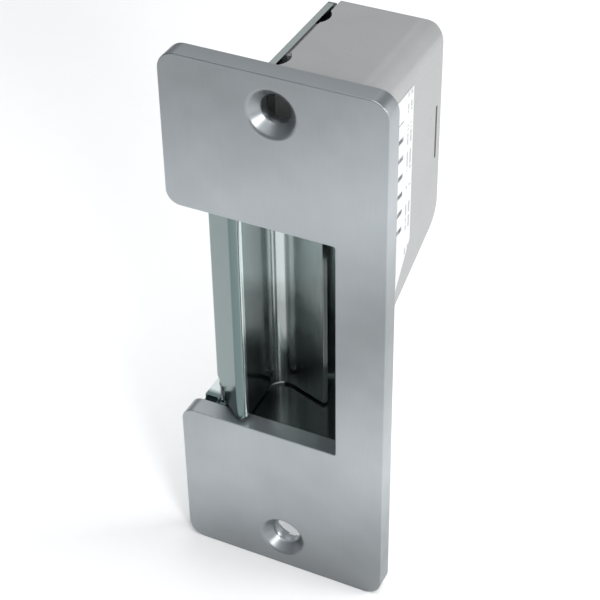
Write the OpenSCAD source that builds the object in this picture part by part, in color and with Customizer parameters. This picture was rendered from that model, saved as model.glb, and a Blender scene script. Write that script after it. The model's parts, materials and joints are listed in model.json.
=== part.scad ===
// Electric door strike: face plate, hinged keeper, sheet chassis, pressed
// housing and an electromagnet whose armature blocks the keeper.
// Frame: origin at the centre of the plate's back face, X to the right,
// Y into the door jamb, Z up. Millimetres.

/* [Face plate] */
// Width of the face plate
plate_w = 33.5; // [33.5:0.1:34.5]
// Height of the face plate
plate_h = 89; // [88.5:0.5:92]
// Thickness of the face plate
plate_t = 3.2; // [3:0.1:3.5]
// Corner radius of the face plate
plate_corner_r = 2.8; // [2:0.1:4]
// Distance between the two mounting screws
screw_spacing = 77.5; // [77:0.1:78]
// Radius of the mounting screw holes
screw_hole_r = 2.2; // [2:0.05:2.4]
// Radius of the countersinks at the front face
countersink_r = 3.8; // [3.2:0.1:4.2]

/* [Latch notch] */
// Height of the notch for the latch bolt
notch_h = 38; // [37.8:0.1:38.4]
// Height of the notch's middle above the plate's middle
notch_mid_z = 1.3; // [1.2:0.1:1.4]
// Width of the solid web to the right of the notch
notch_web = 7.6; // [7:0.1:7.8]
// Radius of the two rounded corners at the notch's mouth
notch_corner_r = 2.2; // [1.5:0.1:4]

/* [Housing] */
// Left edge of the shell
shell_left = -2.5; // [-2.6:0.05:-2.4]
// Right face of the shell
shell_right = 12.75; // [12.6:0.05:13]
// Top face of the shell
shell_top = 41.6; // [41.4:0.1:42]
// Back face of the shell, measured from the plate's back face
shell_depth = 24.8; // [24.6:0.1:26]
// Sheet thickness of the shell
shell_wall = 0.9; // [0.8:0.05:0.95]
// Outside radius of the bend between the top and right walls
shell_bend_r = 3.5; // [1.5:0.25:3.5]
// Slope of the underside in degrees
underside_slope = 24; // [22:1:25]

/* [Keeper] */
// Sheet thickness of the keeper
keeper_t = 0.9; // [0.85:0.05:0.95]
// Radius of the hinge pin
pin_r = 1.05; // [1:0.01:1.06]
// Radial clearance of a running fit
running_gap = 0.05; // [0.03:0.01:0.08]
// End clearance between the keeper and the notch
keeper_end_gap = 0.5; // [0.45:0.05:0.6]

/* [Chassis] */
// Sheet thickness of the chassis
chassis_t = 1.0; // [0.9:0.05:1.05]
// Half the height of the flange behind the plate
flange_half_h = 42; // [41.5:0.5:43]

/* [Magnet] */
// Outside radius of the bobbin flanges
bobbin_r = 5.3; // [5.1:0.1:5.3]
// Radius of the iron core
core_r = 2.5; // [2.2:0.1:2.5]

/* [Hidden] */
$fn = 48;
tiny = 0.01;

// Face plate and notch
plate_half_w = plate_w / 2;
plate_half_h = plate_h / 2;
notch_bottom = notch_mid_z - notch_h / 2;
notch_top = notch_mid_z + notch_h / 2;
notch_right = plate_half_w - notch_web;
screw_z = screw_spacing / 2;
countersink_depth = 1.6;
flange_hole_r = 3.2;

// Chassis
flange_left = -14.9;
flange_right = 15.2;
flange_corner_r = 2;
flange_mouth_r = 1;
sheet_inset = 0.4;
side_plate_right = -3.0;
side_plate_left = side_plate_right - chassis_t;
side_plate_back_gap = 0.6;
side_plate_corner_r = 1.6;
ear_y = 9.0;
ear_corner_r = 2;
floor_back_y = 11.4;
lower_ear_z = notch_bottom - chassis_t;
upper_ear_z = notch_top;
upper_ear_right = -8.3;
ear_recess_right = -12.4;
ear_recess_back = 1.1;
ear_recess_z = notch_bottom - 0.8;
pocket_floor_right = 11.2;
backstop_left = -6.0;
backstop_right = 11.5;
backstop_top = 20.0;
side_plate_front = 11.0;
foot_window_low = [4.8, 21.3];
foot_window_high = [6.7, 24.6];
chassis_screw_spots = [[-10, 27], [8, 30], [12.4, 1.3], [-9, -26], [9, -26]];
chassis_screw_depth = 2.2;
screw_end_gap = 0.2;

// Shell
shell_front = 4.0;
lower_front = 11.4;
upper_floor = 20.6;
underside_front_z = 3.4;
back_corner_r = 4.5;
top_corner_r = 1.2;
slit_y = 23.2;
slit_w = 0.6;
slit_z = 20.0;
slit_h = 8.7;
screw_clearance_r = 2.6;
scallop_r = 2.535;
scallop_depth = 0.75;
scallop_y = [6.2, 18.8];
front_wing_top = 38.5;
tab_front = 7.8;
tab_back = 17.2;
tab_left = side_plate_right;
top_tab_z = 36.9;
low_tab_back = 17.0;
low_tab_top = 12.4;
top_tongue_z = 34.7;
top_tongue_back = 13.2;
housing_screw_spots = [[10.8, 36.9], [15.2, 9.6]];
housing_screw_length = 3.2;
label_t = 0.08;
label_outline = [[5, 3.8], [9.2, 5.0], [14.3, 11.5], [14.3, 36.9], [5, 36.9]];

// Keeper section, seen from above. The path is the middle of the sheet.
pin_at = [-12.65, 5.0];
knuckle_r = 1.9;
knuckle_step = 0.08;
knee_at = [-12.75, 2.2];
lip_at = [-6.8, -2.24];
bend_at = [-6.8, 9.92];
free_end = [2.95, 6.67];
knee_r = 1.2;
lip_fold_r = 0.52;
bend_r = 2.7;
sharp_r = 0.1;
keeper_bottom = notch_bottom + keeper_end_gap;
keeper_top = notch_top - keeper_end_gap;
corner_notch = [
    [-16, keeper_bottom + 3.4], [-13.0, keeper_bottom + 3.4], [-11.1, keeper_bottom + 1.8],
    [-11.1, keeper_bottom - 1], [-16, keeper_bottom - 1]
];
corner_notch_back = 8;
spring_room = 4.4;
spring_relief_r = 1.65;
bumper_at = [-1.0, 12];
bumper_r = 1.4;
bumper_front = 9.1;
tooth_top = 24.4;
tooth_angles = [130, 160];

// Hinge hardware
bush_r = 1.7;
bush_flange_r = 2.4;
bush_flange_t = 0.4;
clip_r = 2.1;
clip_t = 0.4;
clip_gap = 1.2;
pin_end = 1.2;
spring_wire_r = 0.2;
spring_turn_r = 1.34;
spring_full_turns = 4;
spring_foot = 0.25;
spring_pitch = 0.66;
spring_short_angle = 210;
spring_long_angle = 52;
spring_short_leg = 4.3;
spring_long_leg = 5.4;
spring_post_low = [ear_recess_right, 0.4];
spring_post_high = [-12.08, 0.85];
spring_post_h = 0.42;

// Magnet
coil_at = [5.0, 17.7];
yoke_t = 1.6;
yoke_floor = 13.0;
yoke_leg_y = [14.7, 20.7];
yoke_base_y = [14.2, 21.2];
yoke_head_y = [13.4, 22.2];
yoke_head_z = 31;
yoke_leg_top = 33.6;
yoke_base_right = 10.4;
yoke_ear_t = 1.0;
core_top = 33.0;
core_screw_depth = 5.6;
pad_r = 2.2;
pad_t = 0.15;
bobbin_z = [14.7, 32.6];
bobbin_flange_t = 1.0;
bobbin_tube_r = [2.6, 3.2];
winding_r = 4.8;
tape_t = 0.2;
yoke_screw_z = [17.5, 30.4];
lead_spots = [[13.4, 25.0], [13.4, 27.2]];
lead_end = 1.7;
lead_r = 0.45;
lead_hole_r = 0.7;
lead_depth = 1.8;

// Armature, hinged on an axis along Y
armature_axis = [-1.2, 35.2];
armature_pin_r = 0.75;
armature_pin_end = 0.3;
armature_knuckle_r = 1.35;
armature_y = [14.6, 21.0];
armature_z = [34.5, 35.9];
armature_right = 9.4;
arm_x = [1.2, 2.2];
arm_y = [5.1, 9.6];
shoulder_right = 3.6;
foot_z = [22.2, 23.2];
foot_y = [5.1, 6.4];
foot_left = -4.6;
return_spring_at = [7.6, 28.6];
return_spring_r = 1.5;
return_wire_r = 0.2;
return_turns = 5;

// Terminal block on the left of the chassis side plate
block_x = [-10.4, side_plate_left];
block_y = [9.8, 19.0];
block_z = [20.8, 28.2];
way_y = [11.7, 17.1];
way_r = 1.3;
way_inset = 3.7;
clamp_screw_r = 1.5;
clamp_x = [-8.0, -5.6];
clamp_half = 1.2;
clamp_low = 24.1;
clamp_high = 26.8;
clamp_z = 25.3;
clamp_room = 0.2;
clamp_wire_r = 0.8;
block_screw_at = [14.4, 22.8];
block_screw_r = 0.85;
block_screw_head_r = 1.5;
block_screw_seat = 1.6;
screw_sunk = 0.4;
slot_w = 0.4;
slot_depth = 0.7;

// Screw shapes
small_shank_r = 1.2;
small_hole_r = 1.25;
small_head_r = 2.1;
small_head_t = 1.3;
cross_length = 2.2;
cross_w = 0.5;
cross_depth = 0.6;

// ---------- Outline helpers ----------

function unit(v) = v / norm(v);
function turn_left(v) = [-v.y, v.x];
function wrap(a) = a > 180 ? a - 360 : a < -180 ? a + 360 : a;

// Points of the arc that rounds the corner at p, between a and b
function corner_arc(a, p, b, r, steps) =
    let (
        to_a = unit(a - p),
        to_b = unit(b - p),
        half = acos(to_a * to_b) / 2,
        middle = p + unit(to_a + to_b) * r / sin(half),
        first = p + to_a * r / tan(half) - middle,
        last = p + to_b * r / tan(half) - middle,
        start = atan2(first.y, first.x),
        sweep = wrap(atan2(last.y, last.x) - start)
    )
    [for (i = [0:steps]) middle + r * [
        cos(start + sweep * i / steps),
        sin(start + sweep * i / steps)
    ]];

// Closed outline with corner i rounded to radii[i], where 0 is sharp
function rounded(points, radii, steps = 8) =
    let (n = len(points))
    [for (i = [0:n - 1]) each
        radii[i] > 0
            ? corner_arc(points[(i + n - 1) % n], points[i], points[(i + 1) % n], radii[i], steps)
            : [points[i]]];

// One side of a sheet that follows a path, d to the left of the path
function side_path(path, d) =
    let (n = len(path))
    [for (i = [0:n - 1])
        let (
            before = turn_left(unit(path[max(i, 1)] - path[max(i, 1) - 1])),
            after = turn_left(unit(path[min(i + 1, n - 1)] - path[min(i, n - 2)])),
            mitre = before + after
        )
        path[i] + mitre * d * 2 / (mitre * mitre)];

// Side of a sheet with its bends rounded
function bent_side(path, radii, d, steps) =
    let (line = side_path(path, d), n = len(line))
    [for (i = [0:n - 1]) each
        i == 0 || i == n - 1 || abs(radii[i] - d) < sharp_r
            ? [line[i]]
            : corner_arc(line[i - 1], line[i], line[i + 1], abs(radii[i] - d), steps)];

function reversed(list) = [for (i = [len(list) - 1:-1:0]) list[i]];

// Outline of a bent sheet. A left turn has a positive radius, a right turn a negative one.
function sheet_outline(path, radii, t, steps = 10) =
    concat(
        bent_side(path, radii, -t / 2, steps),
        reversed(bent_side(path, radii, t / 2, steps))
    );

// ---------- Solid helpers ----------

// Box from its lowest and highest corners
module span(low, high) {
    translate(low)
        cube(high - low);
}

// Cylinder along Y from y0 to y1
module rod_y(x, z, r, y0, y1) {
    translate([x, y0, z])
        rotate([-90, 0, 0])
            cylinder(r = r, h = y1 - y0);
}

// Cylinder along X from x0 to x1
module rod_x(y, z, r, x0, x1) {
    translate([x0, y, z])
        rotate([0, 90, 0])
            cylinder(r = r, h = x1 - x0);
}

// Outline in X and Z, extruded along Y from y0 to y1
module slab_y(outline, y0, y1) {
    translate([0, y1, 0])
        rotate([90, 0, 0])
            linear_extrude(y1 - y0)
                polygon(outline);
}

// Outline in Y and Z, extruded along X from x0 to x1
module slab_x(outline, x0, x1) {
    translate([x0, 0, 0])
        rotate([90, 0, 90])
            linear_extrude(x1 - x0)
                polygon(outline);
}

// Pan head screw along Y, with its head's underside at y0
module pan_screw_y(x, z, y0, length) {
    rod_y(x, z, small_shank_r, y0 - length, y0);
    difference() {
        rod_y(x, z, small_head_r, y0, y0 + small_head_t);
        driver_cross(x, y0 + small_head_t, z);
    }
}

// Cross recess in a head whose top faces +Y
module driver_cross(x, y, z) {
    for (angle = [0, 90])
        translate([x, y, z])
            rotate([0, angle, 0])
                cube([cross_length, cross_depth * 2, cross_w], center = true);
}

// Pan head screw along X, with its head to the left of x0
module pan_screw_x(y, z, x0, length, shank_r, head_r) {
    rod_x(y, z, shank_r, x0, x0 + length);
    difference() {
        rod_x(y, z, head_r, x0 - small_head_t, x0);
        for (angle = [0, 90])
            translate([x0 - small_head_t, y, z])
                rotate([angle, 0, 0])
                    cube([cross_depth * 2, cross_length, cross_w], center = true);
    }
}

// Points of a helix about Z that climbs from 0 to rise. Negative turns wind clockwise.
function helix_points(turn_r, turns, rise, start) =
    let (steps = ceil(abs(turns) * 14))
    [for (i = [0:steps])
        let (angle = start + 360 * turns * i / steps)
        [turn_r * cos(angle), turn_r * sin(angle), rise * i / steps]];

// Round wire swept along points that never run straight up
module wire_along(points, wire_r) {
    sides = 8;
    last = len(points) - 1;
    corners = [for (i = [0:last]) for (k = [0:sides - 1])
        let (
            ahead = unit(points[min(i + 1, last)] - points[max(i - 1, 0)]),
            across = unit(cross(ahead, [0, 0, 1])),
            up = cross(across, ahead),
            about = 360 * k / sides
        )
        points[i] + wire_r * (across * cos(about) + up * sin(about))];
    walls = [for (i = [0:last - 1]) for (k = [0:sides - 1])
        [
            i * sides + k,
            (i + 1) * sides + k,
            (i + 1) * sides + (k + 1) % sides,
            i * sides + (k + 1) % sides
        ]];
    first_end = [for (k = [0:sides - 1]) k];
    last_end = [for (k = [sides - 1:-1:0]) last * sides + k];
    polyhedron(corners, concat(walls, [first_end, last_end]), convexity = 10);
}

// ---------- Shared outlines ----------

// C-shaped outline in X and Z, open to the left
function c_outline(left, right, half_h, inner, low, high, corner_r, mouth_r) =
    rounded(
        [
            [left, -half_h], [right, -half_h], [right, half_h], [left, half_h],
            [left, high], [inner, high], [inner, low], [left, low]
        ],
        [corner_r, corner_r, corner_r, corner_r, mouth_r, 0, 0, mouth_r]
    );

function underside_z(y) = underside_front_z + (y - lower_front) * tan(underside_slope);

// Side outline of the housing in Y and Z, moved in by inset
function box_side(inset) =
    let (drop = inset / cos(underside_slope))
    rounded(
        [
            [shell_front + inset, upper_floor + inset],
            [shell_front + inset, shell_top - inset],
            [shell_depth - inset, shell_top - inset],
            [shell_depth - inset, underside_z(shell_depth - inset) + drop],
            [lower_front + inset, underside_z(lower_front + inset) + drop],
            [lower_front + inset, upper_floor + inset]
        ],
        [0, 0, top_corner_r - inset / 2, back_corner_r - inset, 0, 0]
    );

// Right wall of the housing, which also covers the side of the pocket
function right_wall_side() =
    rounded(
        [
            [shell_front, underside_z(shell_front)],
            [shell_front, shell_top],
            [shell_depth, shell_top],
            [shell_depth, underside_z(shell_depth)],
            [lower_front, underside_front_z]
        ],
        [0, 0, top_corner_r, back_corner_r, 0]
    );

// Front view of the housing in X and Z, with the big bend at the top right
function box_front(inset) =
    rounded(
        [
            [shell_left - 1, -10],
            [shell_left - 1, shell_top - inset],
            [shell_right - inset, shell_top - inset],
            [shell_right - inset, -10]
        ],
        [0, 0, shell_bend_r - inset, 0]
    );

// ---------- Plate and chassis ----------

module face_plate() {
    outline = c_outline(
        -plate_half_w, plate_half_w, plate_half_h,
        notch_right, notch_bottom, notch_top, plate_corner_r, notch_corner_r
    );
    color("lightsteelblue")
        difference() {
            slab_y(outline, -plate_t, 0);
            for (z = [-screw_z, screw_z]) {
                rod_y(0, z, screw_hole_r, -plate_t - 1, 1);
                translate([0, -plate_t - tiny, z])
                    rotate([-90, 0, 0])
                        cylinder(r1 = countersink_r, r2 = screw_hole_r, h = countersink_depth);
            }
            for (spot = chassis_screw_spots)
                rod_y(spot.x, spot.y, small_hole_r, -chassis_screw_depth, 1);
        }
}

module chassis() {
    flange = c_outline(
        flange_left, flange_right, flange_half_h,
        notch_right + sheet_inset, notch_bottom, notch_top, flange_corner_r, flange_mouth_r
    );
    back = shell_depth - side_plate_back_gap;
    side = rounded(
        [
            [sheet_inset, notch_top + sheet_inset],
            [sheet_inset, shell_top],
            [back, shell_top],
            [back, underside_z(shell_depth) + sheet_inset],
            [side_plate_front, underside_z(side_plate_front) + sheet_inset],
            [side_plate_front, notch_top + sheet_inset]
        ],
        [0, 0, side_plate_corner_r, back_corner_r, 0, 0]
    );
    color("gainsboro")
        difference() {
            union() {
                slab_y(flange, 0, chassis_t);
                slab_x(side, side_plate_left, side_plate_right);
                lower_ear();
                upper_ear();
                span([backstop_left, floor_back_y - chassis_t, lower_ear_z],
                     [backstop_right, floor_back_y, backstop_top]);
            }
            chassis_holes();
        }
}

// Floor of the latch pocket. It carries the foot of the pin and the spring's post.
module lower_ear() {
    outline = rounded(
        [
            [flange_left, sheet_inset], [pocket_floor_right, sheet_inset],
            [pocket_floor_right, floor_back_y - sheet_inset],
            [backstop_left, floor_back_y - sheet_inset],
            [upper_ear_right, ear_y], [flange_left, ear_y]
        ],
        [0, 0, 0, 0, ear_corner_r / 2, ear_corner_r]
    );
    translate([0, 0, lower_ear_z])
        linear_extrude(chassis_t)
            polygon(outline);
    span([spring_post_low.x, spring_post_low.y, lower_ear_z],
         [spring_post_high.x, spring_post_high.y, notch_bottom + spring_post_h]);
}

module upper_ear() {
    outline = rounded(
        [
            [flange_left, sheet_inset], [upper_ear_right, sheet_inset],
            [upper_ear_right, ear_y], [flange_left, ear_y]
        ],
        [0, 0, ear_corner_r, ear_corner_r]
    );
    translate([0, 0, upper_ear_z])
        linear_extrude(chassis_t)
            polygon(outline);
}

module chassis_holes() {
    for (z = [-screw_z, screw_z])
        rod_y(0, z, flange_hole_r, -1, chassis_t + 1);
    for (spot = chassis_screw_spots)
        rod_y(spot.x, spot.y, small_hole_r, -1, chassis_t + 1);
    for (z = [lower_ear_z - 1, upper_ear_z - 1])
        translate([pin_at.x, pin_at.y, z])
            cylinder(r = bush_r, h = chassis_t + 2);
    span([flange_left - 1, -1, ear_recess_z],
         [ear_recess_right, ear_recess_back, notch_bottom + 1]);
    span([side_plate_left - 1, foot_window_low.x, foot_window_low.y],
         [side_plate_right + 1, foot_window_high.x, foot_window_high.y]);
    for (spot = housing_screw_spots)
        rod_x(spot.x, spot.y, small_hole_r, side_plate_left - 1, side_plate_right + 1);
    for (z = yoke_screw_z)
        rod_x(coil_at.y, z, small_hole_r, side_plate_left - 1, side_plate_right + 1);
    for (spot = lead_spots)
        rod_x(spot.x, spot.y, lead_hole_r, side_plate_left - 1, side_plate_right + 1);
    rod_x(block_screw_at.x, block_screw_at.y, block_screw_r + 0.05,
          side_plate_left - 1, side_plate_right + 1);
}

module chassis_screws() {
    color("silver")
        for (spot = chassis_screw_spots)
            pan_screw_y(spot.x, spot.y, chassis_t, chassis_t + chassis_screw_depth - screw_end_gap);
}

// ---------- Keeper and its hinge ----------

// Middle line of the keeper sheet: hinge, knee, ramp, lip, inner wall, bend, rear wall
function keeper_path() =
    let (
        away = pin_at - knee_at,
        reach = norm(away),
        offset_r = knuckle_r - keeper_t / 2 - knuckle_step,
        heading = atan2(away.y, away.x) + asin(offset_r / reach),
        touch = pin_at + offset_r * [-sin(heading), cos(heading)]
    )
    [touch, knee_at, lip_at, bend_at, free_end];

// Keeper sheet between two heights
module keeper_sheet(low, high) {
    translate([0, 0, low])
        linear_extrude(high - low)
            polygon(sheet_outline(
                keeper_path(), [0, knee_r, lip_fold_r, -bend_r, 0], keeper_t, 16
            ));
}

module keeper() {
    color("darkseagreen")
        difference() {
            union() {
                keeper_sheet(keeper_bottom, keeper_top);
                translate([pin_at.x, pin_at.y, keeper_bottom + spring_room])
                    cylinder(r = knuckle_r, h = keeper_top - keeper_bottom - spring_room);
                tooth();
            }
            translate([pin_at.x, pin_at.y, keeper_bottom - 1])
                cylinder(r = pin_r + running_gap, h = keeper_top - keeper_bottom + 2);
            translate([pin_at.x, pin_at.y, keeper_bottom - 1])
                cylinder(r = spring_relief_r, h = spring_room + 1);
            slab_y(corner_notch, -1, corner_notch_back);
        }
}

// Upright tooth on the keeper's bend, which the armature's foot blocks
module tooth() {
    half = acos(unit(lip_at - bend_at) * unit(free_end - bend_at)) / 2;
    middle = bend_at + [bend_r, -bend_r / tan(half)];
    reach = 2 * bend_r;
    sector = [for (angle = tooth_angles) middle + reach * [cos(angle), sin(angle)]];
    intersection() {
        keeper_sheet(keeper_top - 1, tooth_top);
        linear_extrude(tooth_top)
            polygon([middle, sector[0], sector[1]]);
    }
}

module keeper_pin() {
    low = lower_ear_z - bush_flange_t - pin_end;
    color("white")
        translate([pin_at.x, pin_at.y, low])
            cylinder(r = pin_r, h = upper_ear_z + chassis_t + pin_end - low);
}

module keeper_bushes() {
    color("ivory") {
        bush(lower_ear_z, lower_ear_z - bush_flange_t);
        bush(upper_ear_z, upper_ear_z - bush_flange_t);
    }
}

// Bush in the ear whose lower face is at ear_z, with its flange from flange_z
module bush(ear_z, flange_z) {
    difference() {
        union() {
            translate([pin_at.x, pin_at.y, ear_z])
                cylinder(r = bush_r, h = chassis_t);
            translate([pin_at.x, pin_at.y, flange_z])
                cylinder(r = bush_flange_r, h = bush_flange_t);
        }
        translate([pin_at.x, pin_at.y, ear_z - 1])
            cylinder(r = pin_r, h = chassis_t + 2);
    }
}

module keeper_pin_clips() {
    color("dimgray")
        for (z = [lower_ear_z - bush_flange_t - clip_t, upper_ear_z + chassis_t])
            translate([pin_at.x, pin_at.y, z])
                difference() {
                    cylinder(r = clip_r, h = clip_t);
                    translate([0, 0, -1])
                        cylinder(r = pin_r, h = clip_t + 2);
                    translate([-clip_gap / 2, 0, -1])
                        cube([clip_gap, clip_r + 1, clip_t + 2]);
                }
}

// Torsion spring: the long leg turns with the keeper, the short one rests on the post
module keeper_spring() {
    turns = spring_full_turns + (spring_short_angle - spring_long_angle) / 360;
    rise = spring_pitch * turns;
    first = [cos(spring_short_angle), sin(spring_short_angle), 0];
    last = [cos(spring_long_angle), sin(spring_long_angle), 0];
    coil = helix_points(spring_turn_r, -turns, rise, spring_short_angle);
    short_leg = first * spring_turn_r - [first.y, -first.x, 0] * spring_short_leg;
    long_leg = last * spring_turn_r + [last.y, -last.x, 0] * spring_long_leg + [0, 0, rise];
    color("gray")
        translate([pin_at.x, pin_at.y, notch_bottom + spring_foot])
            wire_along(concat([short_leg], coil, [long_leg]), spring_wire_r);
}

module keeper_bumper() {
    color("black")
        rod_y(bumper_at.x, bumper_at.y, bumper_r, bumper_front, floor_back_y - chassis_t);
}

// ---------- Housing ----------

module housing_shell() {
    color("lightgray")
        difference() {
            union() {
                shell_box();
                front_wing();
                top_tab();
                low_tab();
            }
            rod_y(0, screw_z, screw_clearance_r, 0, shell_front + shell_wall + 0.3);
            span([shell_right - 2, slit_y - slit_w / 2, slit_z],
                 [shell_right + 1, slit_y + slit_w / 2, slit_z + slit_h]);
            for (spot = housing_screw_spots)
                rod_x(spot.x, spot.y, small_hole_r, tab_left - 1, tab_left + 2);
        }
}

// Pressed box, open to the left, with two relief scallops in its top's left edge
module shell_box() {
    difference() {
        intersection() {
            union() {
                slab_x(box_side(0), shell_left, shell_right);
                slab_x(right_wall_side(), shell_right - shell_wall, shell_right);
            }
            slab_y(box_front(0), 0, shell_depth + 1);
        }
        intersection() {
            slab_x(box_side(shell_wall), shell_left - 1, shell_right - shell_wall);
            slab_y(box_front(shell_wall), 0, shell_depth + 1);
        }
        for (y = scallop_y)
            translate([shell_left + scallop_depth - scallop_r, y, shell_top - 2])
                cylinder(r = scallop_r, h = 4);
    }
}

// Front wall's wing, which closes the gap to the side plate
module front_wing() {
    span([tab_left, shell_front, upper_floor + 1],
         [shell_left + 1, shell_front + shell_wall, front_wing_top]);
}

// Tab bent down from the top, with a tongue that carries its screw
module top_tab() {
    outline = [
        [tab_front, shell_top - shell_wall / 2], [tab_back, shell_top - shell_wall / 2],
        [tab_back, top_tab_z], [top_tongue_back, top_tab_z],
        [top_tongue_back, top_tongue_z], [tab_front, top_tongue_z]
    ];
    slab_x(outline, tab_left, tab_left + shell_wall);
}

// Tab bent up from the underside
module low_tab() {
    outline = [
        [lower_front + shell_wall, underside_z(lower_front + shell_wall) + shell_wall / 2],
        [low_tab_back, underside_z(low_tab_back) + shell_wall / 2],
        [low_tab_back, low_tab_top],
        [lower_front + shell_wall, low_tab_top]
    ];
    slab_x(outline, tab_left, tab_left + shell_wall);
}

module housing_screws() {
    color("silver")
        for (spot = housing_screw_spots)
            pan_screw_x(spot.x, spot.y, side_plate_left, housing_screw_length, small_shank_r, small_head_r);
}

module rating_label() {
    color("white")
        slab_x(label_outline, shell_right, shell_right + label_t);
}

// ---------- Magnet ----------

module magnet_yoke() {
    left = side_plate_right;
    ear_x = [left, armature_axis.x + armature_knuckle_r];
    color("darkgray")
        difference() {
            union() {
                span([left, yoke_leg_y[0], yoke_floor], [left + yoke_t, yoke_leg_y[1], yoke_leg_top]);
                span([left, yoke_base_y[0], yoke_floor],
                     [yoke_base_right, yoke_base_y[1], yoke_floor + yoke_t]);
                span([left, yoke_head_y[0], yoke_head_z],
                     [left + yoke_t, yoke_head_y[1], yoke_leg_top]);
                for (y = [yoke_head_y[0], yoke_head_y[1] - yoke_ear_t]) {
                    span([left, y, yoke_leg_top - 1], [ear_x[1], y + yoke_ear_t, armature_axis.y]);
                    rod_y(armature_axis.x, armature_axis.y, armature_knuckle_r, y, y + yoke_ear_t);
                }
            }
            rod_y(armature_axis.x, armature_axis.y, armature_pin_r, yoke_head_y[0] - 1, yoke_head_y[1] + 1);
            for (z = yoke_screw_z)
                rod_x(coil_at.y, z, small_shank_r, left - 1, left + yoke_t + 1);
            translate([coil_at.x, coil_at.y, yoke_floor - 1])
                cylinder(r = small_hole_r, h = yoke_t + 2);
        }
}

module yoke_screws() {
    color("silver")
        for (z = yoke_screw_z)
            pan_screw_x(coil_at.y, z, side_plate_left, chassis_t + yoke_t - screw_end_gap,
                        small_shank_r, small_head_r);
}

module magnet_core() {
    color("slategray")
        translate([coil_at.x, coil_at.y, 0])
            difference() {
                translate([0, 0, yoke_floor + yoke_t])
                    cylinder(r = core_r, h = core_top - yoke_floor - yoke_t);
                cylinder(r = small_hole_r, h = yoke_floor + yoke_t + core_screw_depth + screw_end_gap);
            }
}

module core_screw() {
    color("silver")
        translate([coil_at.x, coil_at.y, yoke_floor]) {
            cylinder(r = small_shank_r, h = yoke_t + core_screw_depth);
            translate([0, 0, -small_head_t])
                difference() {
                    cylinder(r = small_head_r, h = small_head_t);
                    for (angle = [0, 90])
                        rotate([0, 0, angle])
                            cube([cross_length, cross_w, cross_depth * 2], center = true);
                }
        }
}

module residual_pad() {
    color("goldenrod")
        translate([coil_at.x, coil_at.y, core_top])
            cylinder(r = pad_r, h = pad_t);
}

// Ring about the coil's axis
module coil_ring(inner_r, outer_r, low, high) {
    translate([coil_at.x, coil_at.y, low])
        difference() {
            cylinder(r = outer_r, h = high - low);
            translate([0, 0, -1])
                cylinder(r = inner_r, h = high - low + 2);
        }
}

module coil_bobbin() {
    color("ivory")
        union() {
            coil_ring(bobbin_tube_r[0], bobbin_tube_r[1], bobbin_z[0], bobbin_z[1]);
            coil_ring(bobbin_tube_r[0], bobbin_r, bobbin_z[0], bobbin_z[0] + bobbin_flange_t);
            coil_ring(bobbin_tube_r[0], bobbin_r, bobbin_z[1] - bobbin_flange_t, bobbin_z[1]);
        }
}

module coil_winding() {
    color("peru")
        coil_ring(bobbin_tube_r[1], winding_r, bobbin_z[0] + bobbin_flange_t, bobbin_z[1] - bobbin_flange_t);
}

module coil_tape() {
    color("khaki")
        coil_ring(winding_r, winding_r + tape_t,
                  bobbin_z[0] + bobbin_flange_t, bobbin_z[1] - bobbin_flange_t);
}

module coil_leads() {
    color("firebrick")
        for (spot = lead_spots)
            rod_x(spot.x, spot.y, lead_r, side_plate_left - lead_depth, lead_end);
}

// ---------- Armature ----------

module locking_armature() {
    color("steelblue")
        difference() {
            union() {
                rod_y(armature_axis.x, armature_axis.y, armature_knuckle_r, armature_y[0], armature_y[1]);
                span([armature_axis.x, armature_y[0], armature_z[0]],
                     [armature_right, armature_y[1], armature_z[1]]);
                span([arm_x[0], arm_y[0], armature_z[0]],
                     [shoulder_right, armature_y[0] + 1, armature_z[1]]);
                span([arm_x[0], arm_y[0], foot_z[0]], [arm_x[1], arm_y[1], armature_z[1]]);
                span([foot_left, foot_y[0], foot_z[0]], [arm_x[1], foot_y[1], foot_z[1]]);
            }
            rod_y(armature_axis.x, armature_axis.y, armature_pin_r + running_gap,
                  armature_y[0] - 1, armature_y[1] + 1);
        }
}

module armature_pin() {
    color("white")
        rod_y(armature_axis.x, armature_axis.y, armature_pin_r,
              yoke_head_y[0] - armature_pin_end, yoke_head_y[1] + armature_pin_end);
}

module armature_spring() {
    end_gap = return_wire_r + running_gap;
    rise = arm_x[0] - side_plate_right - 2 * end_gap;
    color("gray")
        translate([side_plate_right + end_gap, return_spring_at.x, return_spring_at.y])
            rotate([0, 90, 0])
                wire_along(helix_points(return_spring_r, return_turns, rise, 0), return_wire_r);
}

// ---------- Terminals ----------

module terminal_block() {
    color("darkgreen")
        difference() {
            span([block_x[0], block_y[0], block_z[0]], [block_x[1], block_y[1], block_z[1]]);
            for (y = way_y) {
                rod_x(y, clamp_z, clamp_screw_r + 0.2, block_x[0] - 1, clamp_x[0]);
                translate([block_x[0] + way_inset, y, clamp_z])
                    cylinder(r = way_r, h = block_z[1] - clamp_z + 1);
                span([clamp_x[0] - clamp_room, y - clamp_half - clamp_room / 2, clamp_low - clamp_room],
                     [clamp_x[1] + clamp_room, y + clamp_half + clamp_room / 2, clamp_high + clamp_room]);
            }
            for (spot = lead_spots)
                rod_x(spot.x, spot.y, lead_r + 0.1, side_plate_left - lead_depth - 0.1, block_x[1] + 1);
            rod_x(block_screw_at.x, block_screw_at.y, block_screw_r + 0.1, block_x[0] - 1, block_x[1] + 1);
            rod_x(block_screw_at.x, block_screw_at.y, block_screw_head_r + 0.2,
                  block_x[0] - 1, block_x[0] + block_screw_seat);
        }
}

// Brass cages that grip the wires
module terminal_clamps() {
    color("gold")
        for (y = way_y)
            difference() {
                span([clamp_x[0], y - clamp_half, clamp_low], [clamp_x[1], y + clamp_half, clamp_high]);
                translate([block_x[0] + way_inset, y, clamp_low - 1])
                    cylinder(r = clamp_wire_r, h = clamp_high - clamp_low + 2);
            }
}

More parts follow.
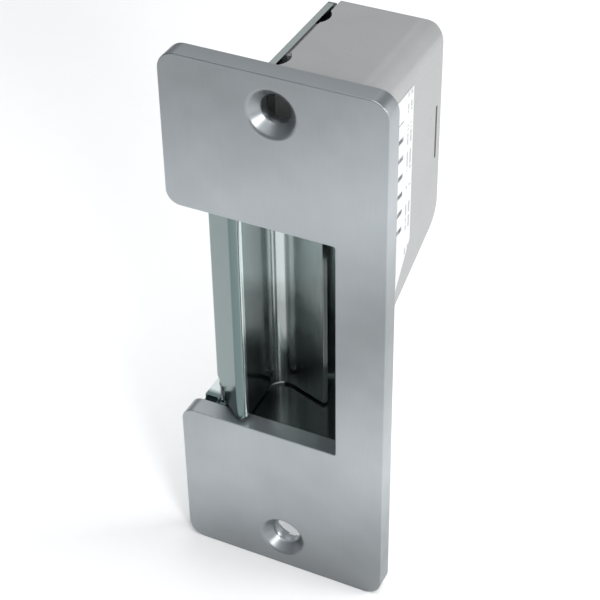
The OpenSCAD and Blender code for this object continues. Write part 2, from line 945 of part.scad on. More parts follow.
module terminal_screws() {
    color("silver")
        for (y = way_y)
            difference() {
                rod_x(y, clamp_z, clamp_screw_r, block_x[0] + screw_sunk, clamp_x[0]);
                span([block_x[0] - 1, y - clamp_screw_r, clamp_z - slot_w / 2],
                     [block_x[0] + screw_sunk + slot_depth, y + clamp_screw_r, clamp_z + slot_w / 2]);
            }
}

module terminal_block_screw() {
    color("silver")
        difference() {
            union() {
                rod_x(block_screw_at.x, block_screw_at.y, block_screw_r,
                      block_x[0] + block_screw_seat, side_plate_right);
                rod_x(block_screw_at.x, block_screw_at.y, block_screw_head_r,
                      block_x[0] + screw_sunk, block_x[0] + block_screw_seat);
            }
            span([block_x[0] - 1, block_screw_at.x - block_screw_head_r, block_screw_at.y - slot_w / 2],
                 [block_x[0] + screw_sunk + slot_depth, block_screw_at.x + block_screw_head_r,
                  block_screw_at.y + slot_w / 2]);
        }
}

face_plate();
chassis();
chassis_screws();
keeper();
keeper_pin();
keeper_bushes();
keeper_pin_clips();
keeper_spring();
keeper_bumper();
housing_shell();
housing_screws();
rating_label();
magnet_yoke();
yoke_screws();
magnet_core();
core_screw();
residual_pad();
coil_bobbin();
coil_winding();
coil_tape();
coil_leads();
locking_armature();
armature_pin();
armature_spring();
terminal_block();
terminal_clamps();
terminal_screws();
terminal_block_screw();
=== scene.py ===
"""Electric door strike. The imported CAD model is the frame, and this script gives it its looks."""
import json
import math

import bmesh
import bpy
from mathutils import Matrix, Vector


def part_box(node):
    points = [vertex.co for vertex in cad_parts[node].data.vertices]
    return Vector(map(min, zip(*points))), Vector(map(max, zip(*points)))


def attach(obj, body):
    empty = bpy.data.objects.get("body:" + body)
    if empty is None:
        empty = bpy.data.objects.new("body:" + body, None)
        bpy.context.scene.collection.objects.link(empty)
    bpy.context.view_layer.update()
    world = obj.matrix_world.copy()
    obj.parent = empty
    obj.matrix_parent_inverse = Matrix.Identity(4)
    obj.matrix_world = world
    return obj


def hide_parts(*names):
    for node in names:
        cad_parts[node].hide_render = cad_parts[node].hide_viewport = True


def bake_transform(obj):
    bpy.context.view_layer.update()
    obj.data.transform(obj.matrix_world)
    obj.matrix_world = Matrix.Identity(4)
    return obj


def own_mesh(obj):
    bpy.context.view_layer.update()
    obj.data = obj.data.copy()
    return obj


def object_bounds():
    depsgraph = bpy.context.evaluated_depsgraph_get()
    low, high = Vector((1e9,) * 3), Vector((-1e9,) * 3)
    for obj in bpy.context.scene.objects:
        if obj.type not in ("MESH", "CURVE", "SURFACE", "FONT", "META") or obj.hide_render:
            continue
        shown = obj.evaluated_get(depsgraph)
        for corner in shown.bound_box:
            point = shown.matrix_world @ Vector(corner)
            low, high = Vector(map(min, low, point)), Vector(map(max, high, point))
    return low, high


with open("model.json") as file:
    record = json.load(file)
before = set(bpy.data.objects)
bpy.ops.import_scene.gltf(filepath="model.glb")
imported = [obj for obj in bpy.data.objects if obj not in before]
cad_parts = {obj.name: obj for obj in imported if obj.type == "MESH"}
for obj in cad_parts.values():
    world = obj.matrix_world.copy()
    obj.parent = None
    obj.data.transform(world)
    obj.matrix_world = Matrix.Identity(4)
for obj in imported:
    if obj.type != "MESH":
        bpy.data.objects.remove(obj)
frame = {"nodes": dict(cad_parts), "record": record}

CAD_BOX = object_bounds()
NODES = frame["nodes"]
SLOT_OF = {row["node"]: row["material_slot"] for row in frame["record"]["subparts"]}
MM = 0.001
FULL_TURN = 2 * math.pi
NORMAL_WEIGHT = 80


# ---------- Node helpers ----------

# Noise seldom leaves this range, so its tones are stretched from it.
NOISE_LOW = 0.3
NOISE_HIGH = 0.7

# Dot product of the true and the bevelled normal where wear begins and where it is full
WEAR_BEGINS = 0.995
WEAR_FULL = 0.93
BEVEL_SAMPLES = 4


def new_material(name):
    """An empty node material, its node tree and its Principled shader."""
    made = bpy.data.materials.new(name)
    made.use_nodes = True
    tree = made.node_tree
    return made, tree, tree.nodes["Principled BSDF"]


def link_or_set(tree, socket, value):
    """Links the input to another socket, or sets it to a plain value."""
    if isinstance(value, bpy.types.NodeSocket):
        tree.links.new(value, socket)
    else:
        socket.default_value = value


def add(tree, kind, **inputs):
    """A node with some of its inputs set or linked. Underscores in names stand for spaces."""
    node = tree.nodes.new(kind)
    for key, value in inputs.items():
        link_or_set(tree, node.inputs[key.replace("_", " ")], value)
    return node


def place(tree, scale):
    """Object coordinates, scaled per axis. Every piece has its origin at the frame's origin."""
    coordinates = tree.nodes.new("ShaderNodeTexCoord")
    mapping = add(tree, "ShaderNodeMapping", Vector=coordinates.outputs["Object"])
    mapping.inputs["Scale"].default_value = scale
    return mapping.outputs["Vector"]


def noise(tree, scale, detail, roughness, stretch=(1, 1, 1)):
    """Noise whose scale is in features per metre along each axis, divided by stretch."""
    vector = place(tree, tuple(scale / s for s in stretch))
    node = add(tree, "ShaderNodeTexNoise", Vector=vector, Scale=1.0, Detail=detail, Roughness=roughness)
    return node.outputs["Fac"]


def math_node(tree, operation, a, b=0.0, clamp=False):
    """One operation on a and b, which are numbers or sockets."""
    node = tree.nodes.new("ShaderNodeMath")
    node.operation = operation
    node.use_clamp = clamp
    link_or_set(tree, node.inputs[0], a)
    link_or_set(tree, node.inputs[1], b)
    return node.outputs[0]


def multiply(tree, first, *others):
    for other in others:
        first = math_node(tree, "MULTIPLY", first, other)
    return first


def one_minus(tree, value):
    return math_node(tree, "SUBTRACT", 1.0, value)


def remap(tree, value, low, high, to_low, to_high):
    """The value moved from one range to another, and held inside it."""
    node = add(tree, "ShaderNodeMapRange", Value=value, From_Min=low, From_Max=high,
               To_Min=to_low, To_Max=to_high)
    return node.outputs["Result"]


def spread(tree, cloud, low, high):
    """Noise stretched to run from low to high."""
    return remap(tree, cloud, NOISE_LOW, NOISE_HIGH, low, high)


def step(tree, value, edge, blend):
    """0 below the edge and 1 above it, with a soft change."""
    return remap(tree, value, edge - blend, edge + blend, 0.0, 1.0)


def between(tree, value, low, high):
    """1 from low to high and 0 elsewhere, with hard edges."""
    above = math_node(tree, "GREATER_THAN", value, low)
    return multiply(tree, above, math_node(tree, "LESS_THAN", value, high))


def grey(level):
    return (level, level, level)


def scaled(colour, factor, lift=0.0):
    """A colour made lighter or darker, with each channel at most 1."""
    return tuple(min(1.0, c * factor + lift) for c in colour)


def with_alpha(colour):
    return (*colour, 1.0) if isinstance(colour, tuple) else colour


def mix_colour(tree, factor, a, b, blend="MIX"):
    """Colour a where the factor is 0 and b where it is 1. Each is a tuple or a socket."""
    node = tree.nodes.new("ShaderNodeMix")
    node.data_type = "RGBA"
    node.blend_type = blend
    link_or_set(tree, node.inputs[0], factor)
    link_or_set(tree, node.inputs[6], with_alpha(a))
    link_or_set(tree, node.inputs[7], with_alpha(b))
    return node.outputs[2]


def edge_mask(tree, radius):
    """1 on worn edges and 0 on flats, from how far the bevelled normal turns."""
    bevel = add(tree, "ShaderNodeBevel", Radius=radius)
    bevel.samples = BEVEL_SAMPLES
    geometry = tree.nodes.new("ShaderNodeNewGeometry")
    dot = tree.nodes.new("ShaderNodeVectorMath")
    dot.operation = "DOT_PRODUCT"
    tree.links.new(bevel.outputs[0], dot.inputs[0])
    tree.links.new(geometry.outputs["Normal"], dot.inputs[1])
    return remap(tree, dot.outputs["Value"], WEAR_BEGINS, WEAR_FULL, 0.0, 1.0)


def bump(tree, shader, height, distance):
    node = add(tree, "ShaderNodeBump", Height=height, Strength=1.0, Distance=distance)
    tree.links.new(node.outputs["Normal"], shader.inputs["Normal"])


def frame_axes(tree):
    """The x, y and z sockets of the frame, in metres."""
    coordinates = tree.nodes.new("ShaderNodeTexCoord")
    axes = add(tree, "ShaderNodeSeparateXYZ", Vector=coordinates.outputs["Object"])
    return axes.outputs["X"], axes.outputs["Y"], axes.outputs["Z"]


def facing(tree, axis):
    """How far the surface faces along one axis, from -1 to 1."""
    geometry = tree.nodes.new("ShaderNodeNewGeometry")
    normal = add(tree, "ShaderNodeSeparateXYZ", Vector=geometry.outputs["Normal"])
    return normal.outputs[axis]


# ---------- Light, shade and reflections painted by position ---

# Painted reflection on the plate: soft slanted dark and light bands
BAND_MIDDLE = 24 * MM
BAND_PITCH = 46 * MM
BAND_SLANT = 0.35
BAND_UNEVEN = 0.5
BAND_REACH = 1.3
BAND_DARK = grey(0.56)
BAND_LIGHT = grey(1.0)
# Painted light on faces that look up: a lighter tone below the middle and a duller one above
LEDGE_LOW_TONE = grey(1.15)
LEDGE_HIGH_TONE = grey(0.78)
LEDGE_FACING = 0.7
FACING_BLEND = 0.2


def painted_reflection_bands(tree):
    """Painted reflection: the plate's tone in soft slanted bands that stand in for the reflected studio,
    broken up by noise.

    As painted light, faces that look up have one light tone in the lower half and one duller tone in the
    upper half.
    """
    x, _, z = frame_axes(tree)
    # Painted reflection bands, slanted across the plate
    tilted = math_node(tree, "SUBTRACT", z, multiply(tree, x, BAND_SLANT))
    along = math_node(tree, "SUBTRACT", tilted, BAND_MIDDLE)
    turn = multiply(tree, along, FULL_TURN / BAND_PITCH)
    uneven = spread(tree, noise(tree, 45.0, 3.0, 0.6), -BAND_UNEVEN, BAND_UNEVEN)
    wave = math_node(tree, "ADD", math_node(tree, "COSINE", turn), uneven)
    tone = mix_colour(tree, remap(tree, wave, -BAND_REACH, BAND_REACH, 0.0, 1.0), BAND_DARK, BAND_LIGHT)
    # Painted light on faces that look up, lighter low down and duller high up
    ledge_tone = mix_colour(tree, step(tree, z, 0.0, MM), LEDGE_LOW_TONE, LEDGE_HIGH_TONE)
    return mix_colour(tree, step(tree, facing(tree, "Z"), LEDGE_FACING, FACING_BLEND), tone, ledge_tone)


# Where one zone of the zinc ends and the next begins
RAMP_X = -6.52 * MM
RAMP_Y = 2.2 * MM
LIP_Y = -0.8 * MM
BEND_Y = 7.0 * MM
REAR_X = -3.0 * MM
DARK_Z = 0.8 * MM
ABOVE_Z = 22 * MM
EAR_X = -11.0 * MM
END_X = 2.75 * MM
END_Y = (5.9 * MM, 7.9 * MM)
KEEPER_LOW = -17.3 * MM
BACK_FACING = 0.4

# How softly the zones meet
ZINC_BLEND = 0.5 * MM
WIDE_BLEND = 3 * ZINC_BLEND
LIP_BLEND = 0.15 * MM
END_BLEND = 0.1 * MM
DARK_BLEND = 3 * MM

# Painted reflections in the trough: a dull inner wall, a brighter bend and the brightest rear wall
INNER_WALL_TONE = (0.23, 0.24, 0.24)
BEND_TONE = grey(0.60)
REAR_TONE = grey(1.0)
# Painted shade low down in the pocket, and how much of it is laid over the tone
LOW_SHADE_TONE = (0.09, 0.08, 0.075)
LOW_SHADE_SHARE = 0.47
# Painted shade on the strip at the keeper's far end
END_SHADE_TONE = grey(0.10)
ABOVE_TONE = grey(0.40)
EAR_TONE = grey(0.9)
# Painted highlight on the lip
LIP_HIGHLIGHT_TONE = grey(0.75)
# Painted reflection: the ramp dull and cool
RAMP_REFLECTION_TONE = (0.165, 0.205, 0.205)
BACK_TONE = (0.42, 0.43, 0.43)


def painted_zinc_tones(tree):
    """Tone of the zinc on the keeper and the chassis.

    The ramp is painted dull and cool as a painted reflection, and the lip gets a painted highlight. As
    painted reflections the inner wall is dull, the bend brighter and the rear wall brightest. All three turn
    dark low down as painted shade, and the strip at the keeper's far end is painted dark as shade. Above the
    notch the zinc is painted darker, and the ear keeps a light tone. Faces that look back have one plain
    tone.
    """
    x, y, z = frame_axes(tree)
    outside = one_minus(tree, step(tree, x, RAMP_X, LIP_BLEND))
    ahead = one_minus(tree, step(tree, y, RAMP_Y, ZINC_BLEND))
    # Painted reflections: inner wall dull, bend brighter, rear wall brightest
    tone = mix_colour(tree, step(tree, y, BEND_Y, WIDE_BLEND), INNER_WALL_TONE, BEND_TONE)
    tone = mix_colour(tree, step(tree, x, REAR_X, WIDE_BLEND), tone, REAR_TONE)
    # Painted shade: the zinc turns dark low down, with a ragged edge
    cloud = spread(tree, noise(tree, 160.0, 3.0, 0.6), -2 * MM, 2 * MM)
    height = math_node(tree, "ADD", z, cloud)
    low = one_minus(tree, step(tree, height, DARK_Z, DARK_BLEND))
    tone = mix_colour(tree, multiply(tree, low, LOW_SHADE_SHARE), tone, LOW_SHADE_TONE)
    # Painted shade on the strip at the keeper's far end
    past_end = step(tree, x, END_X, END_BLEND)
    on_keeper = step(tree, z, KEEPER_LOW, END_BLEND)
    shaded_end = multiply(tree, between(tree, y, *END_Y), past_end, on_keeper)
    tone = mix_colour(tree, shaded_end, tone, END_SHADE_TONE)
    tone = mix_colour(tree, step(tree, z, ABOVE_Z, ZINC_BLEND), tone, ABOVE_TONE)
    ear = one_minus(tree, step(tree, x, EAR_X, ZINC_BLEND))
    tone = mix_colour(tree, ear, tone, EAR_TONE)
    # Painted highlight along the lip
    inside = step(tree, x, RAMP_X, LIP_BLEND)
    lip = multiply(tree, inside, ahead, math_node(tree, "LESS_THAN", y, LIP_Y))
    tone = mix_colour(tree, lip, tone, LIP_HIGHLIGHT_TONE)
    # Painted reflection: the ramp outside the lip is dull and cool
    tone = mix_colour(tree, multiply(tree, outside, ahead), tone, RAMP_REFLECTION_TONE)
    return mix_colour(tree, step(tree, facing(tree, "Y"), BACK_FACING, FACING_BLEND), tone, BACK_TONE)


# ---------- Kinds of material ----------

GRAIN_LOW = 0.35
GRAIN_HIGH = 0.65
METAL_MOTTLE = 300.0
METAL_EDGE = 0.15 * MM
METAL_EDGE_LIGHT = 1.25
METAL_EDGE_POLISH = 0.06
PEEL_SCALE = 3600.0
COAT_MOTTLE = 150.0
COAT_TINT = 0.03
COAT_EDGE = 0.2 * MM
COAT_EDGE_SHARE = 0.18
COAT_EDGE_LIGHT = 1.3
COAT_EDGE_LIFT = 0.03
COAT_ROUGH_SPREAD = 0.05


def metal(name, colour, rough, grain, stretch, rough_spread=0.06, grain_height=0.4e-6, tint=0.05,
          edge=0.25, tone=None):
    """Metal with grain along the stretched axis, soft mottling, and brighter, smoother worn edges."""
    made, tree, shader = new_material(name)
    lines = noise(tree, grain, 4.0, 0.6, stretch)
    cloud = noise(tree, METAL_MOTTLE, 3.0, 0.5)
    worn = edge_mask(tree, METAL_EDGE)
    in_grain = remap(tree, lines, GRAIN_LOW, GRAIN_HIGH, 0.0, 1.0)
    base = mix_colour(tree, in_grain, scaled(colour, 1 - tint), scaled(colour, 1 + tint))
    # The tone, where one is given, paints light, shade and reflections by position
    if tone:
        base = mix_colour(tree, 1.0, base, tone(tree), "MULTIPLY")
    base = mix_colour(tree, multiply(tree, worn, edge), base, scaled(colour, METAL_EDGE_LIGHT))
    tree.links.new(base, shader.inputs["Base Color"])
    fine = spread(tree, lines, -rough_spread, rough_spread)
    coarse = spread(tree, cloud, rough - rough_spread / 2, rough + rough_spread / 2)
    roughness = math_node(tree, "ADD", fine, coarse)
    polish = multiply(tree, worn, METAL_EDGE_POLISH)
    roughness = math_node(tree, "SUBTRACT", roughness, polish, clamp=True)
    tree.links.new(roughness, shader.inputs["Roughness"])
    shader.inputs["Metallic"].default_value = 1.0
    bump(tree, shader, lines, grain_height)
    return made


def coated(name, colour, rough, height=4e-6, coat=0.0):
    """Paint or plastic with a fine orange-peel texture and slight colour variation."""
    made, tree, shader = new_material(name)
    peel = noise(tree, PEEL_SCALE, 3.0, 0.6)
    cloud = noise(tree, COAT_MOTTLE, 2.0, 0.5)
    mottled = spread(tree, cloud, 0.0, 1.0)
    base = mix_colour(tree, mottled, scaled(colour, 1 - COAT_TINT), scaled(colour, 1 + COAT_TINT))
    worn = edge_mask(tree, COAT_EDGE)
    base = mix_colour(tree, multiply(tree, worn, COAT_EDGE_SHARE), base,
                      scaled(colour, COAT_EDGE_LIGHT, COAT_EDGE_LIFT))
    tree.links.new(base, shader.inputs["Base Color"])
    roughness = spread(tree, peel, rough - COAT_ROUGH_SPREAD, rough + COAT_ROUGH_SPREAD)
    tree.links.new(roughness, shader.inputs["Roughness"])
    shader.inputs["Coat Weight"].default_value = coat
    bump(tree, shader, peel, height)
    return made


BAR_COLUMN = (7.0 * MM, 11.0 * MM)
BAR_ROWS = (14.9 * MM, 33.2 * MM)
BAR_PITCH = 3.0 * MM
BAR_WIDTH = 0.25
FIRST_LINE = (12.3 * MM, 12.7 * MM)
SECOND_LINE = (13.3 * MM, 13.8 * MM)
LINE_STRENGTH = 0.5
INK = (0.10, 0.105, 0.105)
FILM_ROUGH_SPREAD = 0.04


def printed_film(name, colour, rough):
    """White film with a ladder of level bars and two broken lines. They are plain marks and spell nothing."""
    made, tree, shader = new_material(name)
    _, y, z = frame_axes(tree)
    in_pitch = math_node(tree, "FRACT", math_node(tree, "DIVIDE", z, BAR_PITCH))
    teeth = math_node(tree, "LESS_THAN", in_pitch, BAR_WIDTH)
    bars = multiply(tree, teeth, between(tree, y, *BAR_COLUMN), between(tree, z, *BAR_ROWS))
    worn = remap(tree, noise(tree, 700.0, 2.0, 0.5), 0.35, 0.5, 0.5, 1.0)
    dashes = math_node(tree, "GREATER_THAN", noise(tree, 900.0, 2.0, 0.5, (1, 30, 1)), 0.50)
    first_line = between(tree, y, *FIRST_LINE)
    second_line = between(tree, y, *SECOND_LINE)
    lines = math_node(tree, "ADD", first_line, second_line, clamp=True)
    lines = multiply(tree, lines, dashes, LINE_STRENGTH)
    ink = math_node(tree, "ADD", multiply(tree, bars, worn), lines, clamp=True)
    tree.links.new(mix_colour(tree, ink, colour, INK), shader.inputs["Base Color"])
    cloud = noise(tree, 500.0, 3.0, 0.5)
    roughness = spread(tree, cloud, rough - FILM_ROUGH_SPREAD, rough + FILM_ROUGH_SPREAD)
    tree.links.new(roughness, shader.inputs["Roughness"])
    shader.inputs["Specular IOR Level"].default_value = 0.2
    bump(tree, shader, noise(tree, 250.0, 2.0, 0.5), 10e-6)
    return made


# ---------- Materials, one for each slot of the record ----------

MATERIALS = {
    "satin_plate": metal("satin_plate", (0.425, 0.452, 0.466), 0.38, 9000.0, (1, 1, 40), rough_spread=0.05,
                         grain_height=0.35e-6, tint=0.03, edge=0.10, tone=painted_reflection_bands),
    "zinc_sheet": metal("zinc_sheet", (0.88, 0.96, 0.95), 0.16, 5000.0, (1, 1, 30), rough_spread=0.03,
                        grain_height=0.08e-6, tint=0.03, edge=0.15, tone=painted_zinc_tones),
    "steel_hardware": metal("steel_hardware", (0.70, 0.70, 0.68), 0.26, 7000.0, (1, 1, 1)),
    "spring_steel": metal("spring_steel", (0.42, 0.42, 0.43), 0.30, 9000.0, (1, 1, 1)),
    "soft_iron": metal("soft_iron", (0.50, 0.50, 0.48), 0.36, 6000.0, (6, 1, 1)),
    "brass": metal("brass", (0.80, 0.62, 0.30), 0.27, 7000.0, (1, 6, 1)),
    "copper_winding": metal("copper_winding", (0.75, 0.36, 0.17), 0.25, 9000.0, (6, 6, 1)),
    "grey_shell": coated("grey_shell", grey(0.23), 0.32, height=0.4e-6, coat=0.3),
    "nylon": coated("nylon", (0.80, 0.79, 0.74), 0.42),
    "coil_wrap": coated("coil_wrap", (0.75, 0.52, 0.12), 0.22, coat=0.4),
    "lead_insulation": coated("lead_insulation", (0.50, 0.04, 0.03), 0.38),
    "block_plastic": coated("block_plastic", (0.03, 0.11, 0.06), 0.40),
    "label_film": printed_film("label_film", grey(0.56), 0.5),
    "bumper_rubber": coated("bumper_rubber", grey(0.02), 0.70),
}


# ---------- Shape helpers ----------

SHARP_ANGLE = math.radians(50)


def corner_arc(a, p, b, radius, steps):
    """Points of the arc that rounds corner p between neighbours a and b."""
    to_a, to_b = (a - p).normalized(), (b - p).normalized()
    half = to_a.angle(to_b) / 2
    middle = p + (to_a + to_b).normalized() * radius / math.sin(half)
    first = p + to_a * radius / math.tan(half) - middle
    last = p + to_b * radius / math.tan(half) - middle
    start = math.atan2(first.y, first.x)
    sweep = math.remainder(math.atan2(last.y, last.x) - start, FULL_TURN)
    angles = [start + sweep * i / steps for i in range(steps + 1)]
    return [middle + radius * Vector((math.cos(angle), math.sin(angle))) for angle in angles]


def rounded(points, radii, steps):
    """A closed outline with each corner rounded. The number of points depends on steps alone."""
    points = [Vector(p) for p in points]
    count = len(points)
    return [q for i in range(count)
            for q in corner_arc(points[i - 1], points[i], points[(i + 1) % count], radii[i], steps)]


def around(count):
    """Angles of equal steps round a circle."""
    return [FULL_TURN * k / count for k in range(count)]


def ring(bm, points):
    return [bm.verts.new(p) for p in points]


def bridge(bm, rings):
    """Quads between closed rings with equal numbers of vertices."""
    for one, two in zip(rings, rings[1:]):
        count = len(one)
        for i in range(count):
            bm.faces.new((one[i], one[(i + 1) % count], two[(i + 1) % count], two[i]))


def fill(bm, rings):
    """A flat face with holes, as triangles between the closed rings."""
    edges = [bm.edges.get((r[i], r[(i + 1) % len(r)])) for r in rings for i in range(len(r))]
    bmesh.ops.triangle_fill(bm, use_beauty=True, use_dissolve=False, edges=edges)


def object_from(bm, name, material):
    """A smooth-shaded object made from the mesh, with one material."""
    bmesh.ops.recalc_face_normals(bm, faces=bm.faces)
    mesh = bpy.data.meshes.new(name)
    bm.to_mesh(mesh)
    bm.free()
    mesh.polygons.foreach_set("use_smooth", [True] * len(mesh.polygons))
    piece = bpy.data.objects.new(name, mesh)
    bpy.context.scene.collection.objects.link(piece)
    piece.data.materials.append(material)
    return piece


def weigh_normals(piece):
    """Flat faces stay flat, and edges sharper than SHARP_ANGLE stay sharp."""
    piece.data.set_sharp_from_angle(angle=SHARP_ANGLE)
    modifier = piece.modifiers.new("normals", "WEIGHTED_NORMAL")
    modifier.keep_sharp = True
    modifier.weight = NORMAL_WEIGHT


def stand_in(piece, node):
    """The piece replaces a CAD node on the same body and with the same slot."""
    body = next(b for b, members in frame["record"]["behaviour"]["bodies"].items() if node in members)
    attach(piece, body)
    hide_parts(node)
    return piece


# ---------- Face plate ----------

NOTCH_LOW = -17.7 * MM
NOTCH_HIGH = 20.3 * MM
NOTCH_INNER = 9.15 * MM
SCREW_Z = 38.75 * MM
PLATE_CORNER = 2.8 * MM
MOUTH_CORNER = 2.2 * MM
INNER_CORNER = 0.35 * MM
CORNER_STEPS = 10
FRONT_ROLL = 0.14 * MM
FRONT_STEPS = 6
BACK_BREAK = 0.15 * MM
HOLE_SIDES = 64

# Radius and depth of a screw hole in mm: rolled rim, countersink, bore and broken back edge
SCREW_HOLE = [
    (3.95, 0.0), (3.82, 0.02), (3.66, 0.08), (3.50, 0.18), (3.36, 0.32), (2.50, 1.28), (2.32, 1.47),
    (2.22, 1.60), (2.2, 1.70), (2.2, 3.05), (2.32, 3.2),
]


def plate_outline(inset):
    """The C-shaped outline of the plate, moved inwards by inset."""
    low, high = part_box("face_plate")
    left, right = low.x + inset, high.x - inset
    bottom, top = low.z + inset, high.z - inset
    inner, notch_low, notch_high = NOTCH_INNER + inset, NOTCH_LOW - inset, NOTCH_HIGH + inset
    outer, mouth, hollow = PLATE_CORNER - inset, MOUTH_CORNER - inset, INNER_CORNER + inset
    return rounded(
        [(left, bottom), (right, bottom), (right, top), (left, top),
         (left, notch_high), (inner, notch_high), (inner, notch_low), (left, notch_low)],
        [outer] * 4 + [mouth, hollow, hollow, mouth], CORNER_STEPS)


def quarter(radius, steps):
    """Inset and depth along a quarter round from the front face to the side."""
    angles = [math.pi / 2 * i / steps for i in range(steps + 1)]
    return [(radius * (1 - math.sin(a)), radius * (1 - math.cos(a))) for a in angles]


def screw_hole_ring(bm, front, z, radius, depth):
    """One ring of a screw hole, with radius and depth in mm."""
    return ring(bm, [(radius * MM * math.cos(a), front + depth * MM, z + radius * MM * math.sin(a))
                     for a in around(HOLE_SIDES)])


def face_plate():
    """The plate with rolled front edges and two countersunk screw holes."""
    low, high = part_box("face_plate")
    front = low.y
    back = high.y
    bm = bmesh.new()
    profile = [(inset, front + depth) for inset, depth in quarter(FRONT_ROLL, FRONT_STEPS)]
    profile += [(0.0, back - BACK_BREAK), (BACK_BREAK, back)]
    rims = [ring(bm, [(p.x, y, p.y) for p in plate_outline(inset)]) for inset, y in profile]
    bridge(bm, rims)
    fronts = [rims[0]]
    backs = [rims[-1]]
    for z in (-SCREW_Z, SCREW_Z):
        loops = [screw_hole_ring(bm, front, z, radius, depth) for radius, depth in SCREW_HOLE]
        bridge(bm, loops)
        fronts.append(loops[0])
        backs.append(loops[-1])
    fill(bm, fronts)
    fill(bm, backs)
    piece = object_from(bm, "plate_body", MATERIALS["satin_plate"])
    weigh_normals(piece)
    return stand_in(piece, "face_plate")


# ---------- Springs -----------------------------------

WIRE_R = 0.2 * MM
WIRE_SIDES = 12
STEPS_A_TURN = 36
TIP = 0.1 * MM
TIP_SHARE = 0.6
RETURN_TURNS = 5
TORSION_R = 1.34 * MM
TORSION_FOOT = 0.25 * MM
TORSION_PITCH = 0.66 * MM
SHORT_ANGLE = math.radians(210)
LONG_ANGLE = math.radians(52)
WHOLE_TURNS = 4
SHORT_LEG = 4.3 * MM
LONG_LEG = 5.4 * MM


def swept_wire(name, points, axis):
    """Round wire along points that never run along axis, with both ends drawn in a little."""
    points = [Vector(p) for p in points]
    lead = points[0] + (points[1] - points[0]).normalized() * TIP
    tail = points[-1] + (points[-2] - points[-1]).normalized() * TIP
    points = [points[0], lead] + points[1:-1] + [tail, points[-1]]
    last = len(points) - 1
    bm = bmesh.new()
    loops = []
    for i, point in enumerate(points):
        ahead = (points[min(i + 1, last)] - points[max(i - 1, 0)]).normalized()
        across = ahead.cross(Vector(axis)).normalized()
        up = across.cross(ahead)
        reach = WIRE_R * (TIP_SHARE if i in (0, last) else 1.0)
        loops.append(ring(bm, [point + reach * (across * math.cos(a) + up * math.sin(a))
                               for a in around(WIRE_SIDES)]))
    bridge(bm, loops)
    bm.faces.new(loops[0])
    bm.faces.new(loops[-1])
    piece = object_from(bm, name, MATERIALS["spring_steel"])
    weigh_normals(piece)
    return piece


def return_spring():
    """Compression spring of the armature, a fixed coil on the body of the CAD spring that it replaces."""
    low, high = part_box("armature_spring")
    middle = (low + high) / 2
    turn_r = (high.y - low.y) / 2 - WIRE_R
    start = low.x + WIRE_R
    rise = high.x - low.x - 2 * WIRE_R
    count = RETURN_TURNS * STEPS_A_TURN
    turns = [FULL_TURN * i / STEPS_A_TURN for i in range(count + 1)]
    points = [(start + rise * i / count, middle.y + turn_r * math.sin(a), middle.z - turn_r * math.cos(a))
              for i, a in enumerate(turns)]
    piece = stand_in(swept_wire("return_spring_wire", points, (1, 0, 0)), "armature_spring")
    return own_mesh(piece)


def torsion_spring():
    """Torsion spring round the hinge pin, with a short leg and a long leg. It is not attached to a body."""
    low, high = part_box("keeper_pin")
    centre = Vector(((low.x + high.x) / 2, (low.y + high.y) / 2, NOTCH_LOW + TORSION_FOOT))
    sweep = WHOLE_TURNS * FULL_TURN + SHORT_ANGLE - LONG_ANGLE
    rise = TORSION_PITCH * sweep / FULL_TURN
    count = round(sweep / FULL_TURN * STEPS_A_TURN)
    coil = []
    for i in range(count + 1):
        a = SHORT_ANGLE - sweep * i / count
        coil.append(centre + Vector((TORSION_R * math.cos(a), TORSION_R * math.sin(a), rise * i / count)))
    short_way = Vector((-math.sin(SHORT_ANGLE), math.cos(SHORT_ANGLE), 0))
    long_way = Vector((math.sin(LONG_ANGLE), -math.cos(LONG_ANGLE), 0))
    points = [coil[0] + short_way * SHORT_LEG] + coil + [coil[-1] + long_way * LONG_LEG]
    piece = swept_wire("torsion_spring_wire", points, (0, 0, 1))
    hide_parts("keeper_spring")
    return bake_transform(piece)


# ---------- CAD nodes that keep their shape ----------

WELD_DISTANCE = 2e-6
FLAT_ANGLE = math.radians(1.5)
BREAK_ANGLE = math.radians(32)
BREAK_SEGMENTS = 3

# Width of each node's broken edges, in mm
EDGE_BREAK = {
    "chassis": 0.12, "keeper": 0.08, "housing_shell": 0.14, "locking_armature": 0.15, "magnet_yoke": 0.15,
    "terminal_block": 0.2, "terminal_clamps": 0.1, "rating_label": 0.02, "keeper_bushes": 0.08,
    "keeper_pin": 0.25, "armature_pin": 0.15, "keeper_pin_clips": 0.08, "chassis_screws": 0.22,
    "housing_screws": 0.22, "yoke_screws": 0.22, "core_screw": 0.15, "terminal_screws": 0.12,
    "terminal_block_screw": 0.1, "keeper_bumper": 0.3, "coil_bobbin": 0.15, "coil_tape": 0.03,
    "coil_winding": 0.1, "coil_leads": 0.05, "magnet_core": 0.15, "residual_pad": 0.03,
}


def dress(node):
    """The record's material on a CAD node, and its edges broken by modifiers."""
    piece = NODES[node]
    piece.data.materials.clear()
    piece.data.materials.append(MATERIALS[SLOT_OF[node]])
    piece.data.polygons.foreach_set("use_smooth", [True] * len(piece.data.polygons))
    weld = piece.modifiers.new("weld", "WELD")
    weld.merge_threshold = WELD_DISTANCE
    flat = piece.modifiers.new("flat", "DECIMATE")
    flat.decimate_type = "DISSOLVE"
    flat.angle_limit = FLAT_ANGLE
    edges = piece.modifiers.new("edges", "BEVEL")
    edges.width = EDGE_BREAK[node] * MM
    edges.segments = BREAK_SEGMENTS
    edges.limit_method = "ANGLE"
    edges.angle_limit = BREAK_ANGLE
    edges.use_clamp_overlap = True
    normals = piece.modifiers.new("normals", "WEIGHTED_NORMAL")
    normals.weight = NORMAL_WEIGHT


# ---------- Floor, light and camera ----------

FLOOR_HALF = 3.0
PAPER_DARK = grey(0.92)
PAPER_LIGHT = grey(0.94)
SKY = (0.90, 0.95, 1.0)
SKY_STRENGTH = 0.32

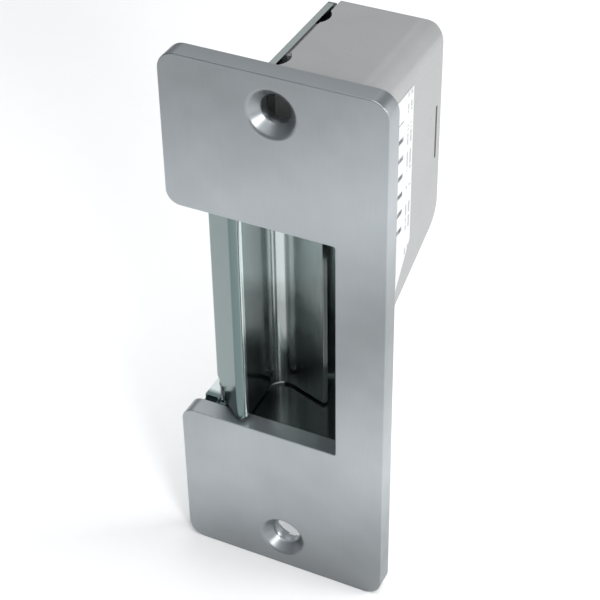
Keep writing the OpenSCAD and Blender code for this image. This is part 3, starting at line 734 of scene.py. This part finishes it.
# Name, place in metres, width, height and power of each area light. All of them aim at the origin.
LIGHTS = [
    ("key", (0.40, -0.37, 0.25), 0.12, 0.12, 1.6),
    ("side", (0.62, 0.26, 0.26), 0.40, 0.30, 3.4),
    ("top", (0.12, -0.05, 0.60), 0.5, 0.5, 2.8),
    ("back", (-0.18, 0.42, 0.50), 0.5, 0.5, 0.45),
]


def area_light(name, at, width, height, power):
    light = bpy.data.lights.new(name, "AREA")
    light.shape = "RECTANGLE"
    light.size = width
    light.size_y = height
    light.energy = power
    lamp = bpy.data.objects.new(name, light)
    bpy.context.scene.collection.objects.link(lamp)
    lamp.location = at
    lamp.rotation_mode = "QUATERNION"
    lamp.rotation_quaternion = (-Vector(at)).to_track_quat("-Z", "Y")


def paper_floor(height):
    """A plain pale floor."""
    half = FLOOR_HALF
    corners = [(-half, -half, height), (half, -half, height), (half, half, height), (-half, half, height)]
    mesh = bpy.data.meshes.new("floor")
    mesh.from_pydata(corners, [], [(0, 1, 2, 3)])
    floor = bpy.data.objects.new("floor", mesh)
    bpy.context.scene.collection.objects.link(floor)
    made, tree, shader = new_material("paper_floor")
    paper = mix_colour(tree, noise(tree, 400.0, 3.0, 0.5), PAPER_DARK, PAPER_LIGHT)
    tree.links.new(paper, shader.inputs["Base Color"])
    shader.inputs["Roughness"].default_value = 0.9
    shader.inputs["Specular IOR Level"].default_value = 0.1
    floor.data.materials.append(made)


def studio():
    """The floor under the part, an even sky and four soft lights."""
    paper_floor(CAD_BOX[0].z)
    world = bpy.data.worlds.new("studio")
    bpy.context.scene.world = world
    world.use_nodes = True
    background = world.node_tree.nodes["Background"]
    background.inputs["Color"].default_value = with_alpha(SKY)
    background.inputs["Strength"].default_value = SKY_STRENGTH
    for light in LIGHTS:
        area_light(*light)


AIM = (4.57 * MM, -4.79 * MM, 11.06 * MM)
AZIMUTH = math.radians(26.4)
ELEVATION = math.radians(37.8)
ROLL = math.radians(-0.97)
DISTANCE = 236.7 * MM
LENS = 103.2
SENSOR = 36.0
NEAREST = 0.01
FARTHEST = 20.0


def camera():
    """The camera, on a sphere round its aim and rolled a little about its own axis."""
    data = bpy.data.cameras.new("camera")
    data.lens = LENS
    data.sensor_width = SENSOR
    data.clip_start = NEAREST
    data.clip_end = FARTHEST
    eye = bpy.data.objects.new("camera", data)
    bpy.context.scene.collection.objects.link(eye)
    back = Vector((math.sin(AZIMUTH) * math.cos(ELEVATION), -math.cos(AZIMUTH) * math.cos(ELEVATION),
                   math.sin(ELEVATION)))
    level = Vector((math.cos(AZIMUTH), math.sin(AZIMUTH), 0))
    upright = back.cross(level)
    right = level * math.cos(ROLL) + upright * math.sin(ROLL)
    up = upright * math.cos(ROLL) - level * math.sin(ROLL)
    turn = Matrix((right, up, back)).transposed().to_4x4()
    eye.matrix_world = Matrix.Translation(Vector(AIM) + back * DISTANCE) @ turn
    bpy.context.scene.camera = eye


# ---------- The scene ----------

MADE_HERE = ("face_plate", "armature_spring", "keeper_spring")

camera()
studio()
for node_name in NODES:
    if node_name not in MADE_HERE:
        dress(node_name)
face_plate()
return_spring()
torsion_spring()
bpy.context.scene.view_settings.view_transform = "Standard"
